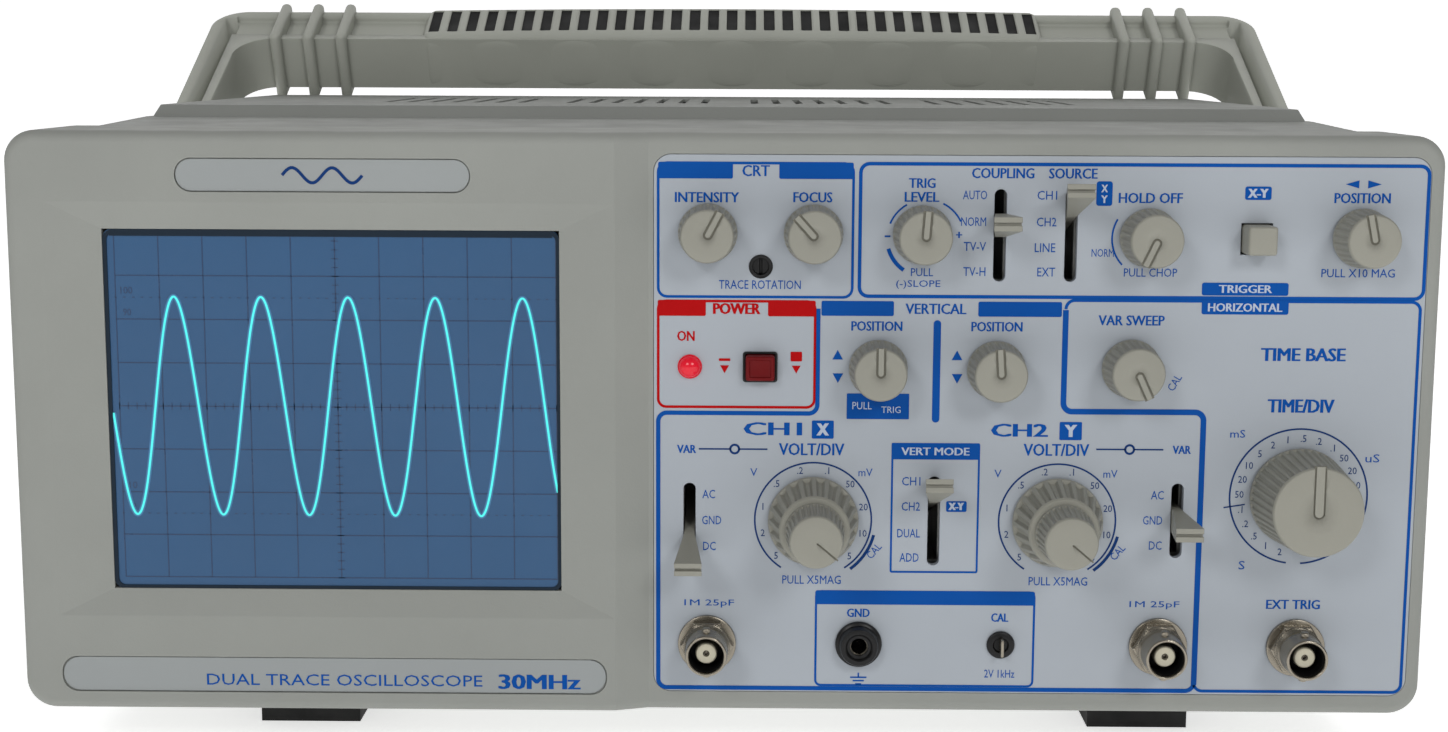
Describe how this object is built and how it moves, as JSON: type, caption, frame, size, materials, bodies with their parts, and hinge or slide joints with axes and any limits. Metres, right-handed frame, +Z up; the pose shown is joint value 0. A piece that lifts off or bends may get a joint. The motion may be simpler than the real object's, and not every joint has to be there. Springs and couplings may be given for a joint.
{
  "type": "oscilloscope",
  "caption": "Bench analogue oscilloscope with a cathode-ray screen on the left, knobs and switches on the right, and a swinging carrying handle.",
  "frame": {"origin": "on the table, under the middle of the whole instrument", "axes": "+Z up, the front faces -Y, +X to the right as seen from the front"},
  "size_m": [0.3526, 0.398, 0.1815],
  "materials": {
    "case_plastic": "fine moulded texture, warm grey",
    "case_paint": "fine-grained warm grey paint on steel sheet",
    "panel_paint": "light grey paint with blue and red print",
    "screen_filter": "tinted acrylic with a graticule",
    "tube_glass": "clear",
    "shield_steel": "dull",
    "bracket_steel": "zinc plated",
    "screw_steel": "dark plated",
    "core_steel": "varnished laminations",
    "circuit_board": "solder-masked laminate",
    "component_plastic": "moulded packages",
    "dark_plastic": "black",
    "foot_rubber": "black",
    "nickel": "nickel plated brass",
    "lamp_red": "diffused red lens",
    "button_red": "red",
    "handle_plastic": "moulded, warm grey",
    "control_plastic": "light warm grey",
    "shaft_aluminium": "turned"
  },
  "bodies": {
    "root": {"bnc_connectors": "nickel", "board_components": "component_plastic", "bottom_cover": "case_paint", "cal_terminal": "nickel", "case_screws": "screw_steel", "chassis_rails": "bracket_steel", "control_board": "circuit_board", "control_panel": "panel_paint", "cord_wraps": "dark_plastic", "crt_mount": "bracket_steel", "crt_shield": "shield_steel", "crt_socket": "dark_plastic", "crt_tube": "tube_glass", "feet": "foot_rubber", "front_bezel": "case_plastic", "front_chassis": "bracket_steel", "ground_jack": "dark_plastic", "handle_pivots": "bracket_steel", "high_voltage_module": "shield_steel", "main_board": "circuit_board", "mains_inlet": "dark_plastic", "panel_switches": "bracket_steel", "pot_bodies": "bracket_steel", "power_led": "lamp_red", "power_supply": "component_plastic", "power_transformer": "core_steel", "rear_panel": "case_paint", "rotary_switches": "bracket_steel", "screen_filter": "screen_filter", "top_cover": "case_paint"},
    "handle": {"handle_frame": "handle_plastic", "handle_grip": "handle_plastic"},
    "intensity": {"intensity_knob": "control_plastic"},
    "focus": {"focus_knob": "control_plastic"},
    "var_sweep": {"var_sweep_knob": "control_plastic"},
    "trig_level_shaft": {"trig_level_shaft": "shaft_aluminium"},
    "trig_level_knob": {"trig_level_knob": "control_plastic"},
    "hold_off_shaft": {"hold_off_shaft": "shaft_aluminium"},
    "hold_off_knob": {"hold_off_knob": "control_plastic"},
    "h_position_shaft": {"h_position_shaft": "shaft_aluminium"},
    "h_position_knob": {"h_position_knob": "control_plastic"},
    "v_position_1_shaft": {"v_position_1_shaft": "shaft_aluminium"},
    "v_position_1_knob": {"v_position_1_knob": "control_plastic"},
    "v_position_2_shaft": {"v_position_2_shaft": "shaft_aluminium"},
    "v_position_2_knob": {"v_position_2_knob": "control_plastic"},
    "volts_div_1": {"volts_div_1_knob": "control_plastic"},
    "vernier_1_shaft": {"vernier_1_shaft": "shaft_aluminium"},
    "vernier_1_knob": {"vernier_1_knob": "control_plastic"},
    "volts_div_2": {"volts_div_2_knob": "control_plastic"},
    "vernier_2_shaft": {"vernier_2_shaft": "shaft_aluminium"},
    "vernier_2_knob": {"vernier_2_knob": "control_plastic"},
    "time_div": {"time_div_knob": "control_plastic"},
    "coupling_lever": {"coupling_lever": "control_plastic"},
    "source_lever": {"source_lever": "control_plastic"},
    "input_1_lever": {"input_1_lever": "control_plastic"},
    "input_2_lever": {"input_2_lever": "control_plastic"},
    "vert_mode_lever": {"vert_mode_lever": "control_plastic"},
    "power_button": {"power_button": "button_red"},
    "xy_key": {"xy_key": "control_plastic"},
    "rotation_trimmer": {"rotation_trimmer": "dark_plastic"}
  },
  "joints": [
    {"name": "handle_swing", "type": "hinge", "parent": "root", "child": "handle", "pos_m": [0, -0.103, 0.08], "axis": [1, 0, 0], "range_deg": [0, 215]},
    {"name": "intensity_turn", "type": "hinge", "parent": "root", "child": "intensity", "pos_m": [-0.0036, -0.176, 0.1246], "axis": [0, 1, 0], "range_deg": [-183, 127]},
    {"name": "focus_turn", "type": "hinge", "parent": "root", "child": "focus", "pos_m": [0.0202, -0.176, 0.1245], "axis": [0, 1, 0], "range_deg": [-113, 197]},
    {"name": "var_sweep_turn", "type": "hinge", "parent": "root", "child": "var_sweep", "pos_m": [0.0925, -0.176, 0.0943], "axis": [0, 1, 0], "range_deg": [-310, 0]},
    {"name": "trig_level_turn", "type": "hinge", "parent": "root", "child": "trig_level_shaft", "pos_m": [0.0447, -0.176, 0.1244], "axis": [0, 1, 0], "range_deg": [-159, 151]},
    {"name": "trig_level_pull", "type": "slide", "parent": "trig_level_shaft", "child": "trig_level_knob", "axis": [0, -1, 0], "range_m": [0, 0.004]},
    {"name": "hold_off_turn", "type": "hinge", "parent": "root", "child": "hold_off_shaft", "pos_m": [0.0956, -0.176, 0.124], "axis": [0, 1, 0], "range_deg": [0, 310]},
    {"name": "hold_off_pull", "type": "slide", "parent": "hold_off_shaft", "child": "hold_off_knob", "axis": [0, -1, 0], "range_m": [0, 0.004]},
    {"name": "h_position_turn", "type": "hinge", "parent": "root", "child": "h_position_shaft", "pos_m": [0.1433, -0.176, 0.1242], "axis": [0, 1, 0], "range_deg": [-143, 167]},
    {"name": "h_position_pull", "type": "slide", "parent": "h_position_shaft", "child": "h_position_knob", "axis": [0, -1, 0], "range_m": [0, 0.004]},
    {"name": "v_position_1_turn", "type": "hinge", "parent": "root", "child": "v_position_1_shaft", "pos_m": [0.0352, -0.176, 0.0939], "axis": [0, 1, 0], "range_deg": [-155, 155]},
    {"name": "v_position_1_pull", "type": "slide", "parent": "v_position_1_shaft", "child": "v_position_1_knob", "axis": [0, -1, 0], "range_m": [0, 0.004]},
    {"name": "v_position_2_turn", "type": "hinge", "parent": "root", "child": "v_position_2_shaft", "pos_m": [0.062, -0.176, 0.0938], "axis": [0, 1, 0], "range_deg": [-151, 159]},
    {"name": "v_position_2_pull", "type": "slide", "parent": "v_position_2_shaft", "child": "v_position_2_knob", "axis": [0, -1, 0], "range_m": [0, 0.004]},
    {"name": "volts_div_1_turn", "type": "hinge", "parent": "root", "child": "volts_div_1", "pos_m": [0.0208, -0.176, 0.0585], "axis": [0, 1, 0], "range_deg": [-180, 90]},
    {"name": "vernier_1_turn", "type": "hinge", "parent": "root", "child": "vernier_1_shaft", "pos_m": [0.0208, -0.176, 0.0585], "axis": [0, 1, 0], "range_deg": [-285, 0]},
    {"name": "vernier_1_pull", "type": "slide", "parent": "vernier_1_shaft", "child": "vernier_1_knob", "axis": [0, -1, 0], "range_m": [0, 0.004]},
    {"name": "volts_div_2_turn", "type": "hinge", "parent": "root", "child": "volts_div_2", "pos_m": [0.0768, -0.176, 0.0585], "axis": [0, 1, 0], "range_deg": [-180, 90]},
    {"name": "vernier_2_turn", "type": "hinge", "parent": "root", "child": "vernier_2_shaft", "pos_m": [0.0768, -0.176, 0.0585], "axis": [0, 1, 0], "range_deg": [-285, 0]},
    {"name": "vernier_2_pull", "type": "slide", "parent": "vernier_2_shaft", "child": "vernier_2_knob", "axis": [0, -1, 0], "range_m": [0, 0.004]},
    {"name": "time_div_turn", "type": "hinge", "parent": "root", "child": "time_div", "pos_m": [0.1318, -0.176, 0.0648], "axis": [0, 1, 0], "range_deg": [-150, 150]},
    {"name": "coupling_select", "type": "hinge", "parent": "root", "child": "coupling_lever", "pos_m": [0.0622, -0.151, 0.1243], "axis": [-1, 0, 0], "range_deg": [-21.2, 10.6]},
    {"name": "source_select", "type": "hinge", "parent": "root", "child": "source_lever", "pos_m": [0.0782, -0.151, 0.1243], "axis": [-1, 0, 0], "range_deg": [-31.8, 0]},
    {"name": "input_1_select", "type": "hinge", "parent": "root", "child": "input_1_lever", "pos_m": [-0.0076, -0.151, 0.0584], "axis": [-1, 0, 0], "range_deg": [0, 24]},
    {"name": "input_2_select", "type": "hinge", "parent": "root", "child": "input_2_lever", "pos_m": [0.1042, -0.151, 0.0589], "axis": [-1, 0, 0], "range_deg": [-12, 12]},
    {"name": "vert_mode_select", "type": "hinge", "parent": "root", "child": "vert_mode_lever", "pos_m": [0.0485, -0.151, 0.0585], "axis": [-1, 0, 0], "range_deg": [-31.8, 0]},
    {"name": "power_press", "type": "slide", "parent": "root", "child": "power_button", "axis": [0, 1, 0], "range_m": [-0.003, 0.0005]},
    {"name": "xy_press", "type": "slide", "parent": "root", "child": "xy_key", "axis": [0, 1, 0], "range_m": [0, 0.003]},
    {"name": "rotation_adjust", "type": "hinge", "parent": "root", "child": "rotation_trimmer", "pos_m": [0.0084, -0.176, 0.117], "axis": [0, 1, 0], "range_deg": [-135, 135]}
  ]
}
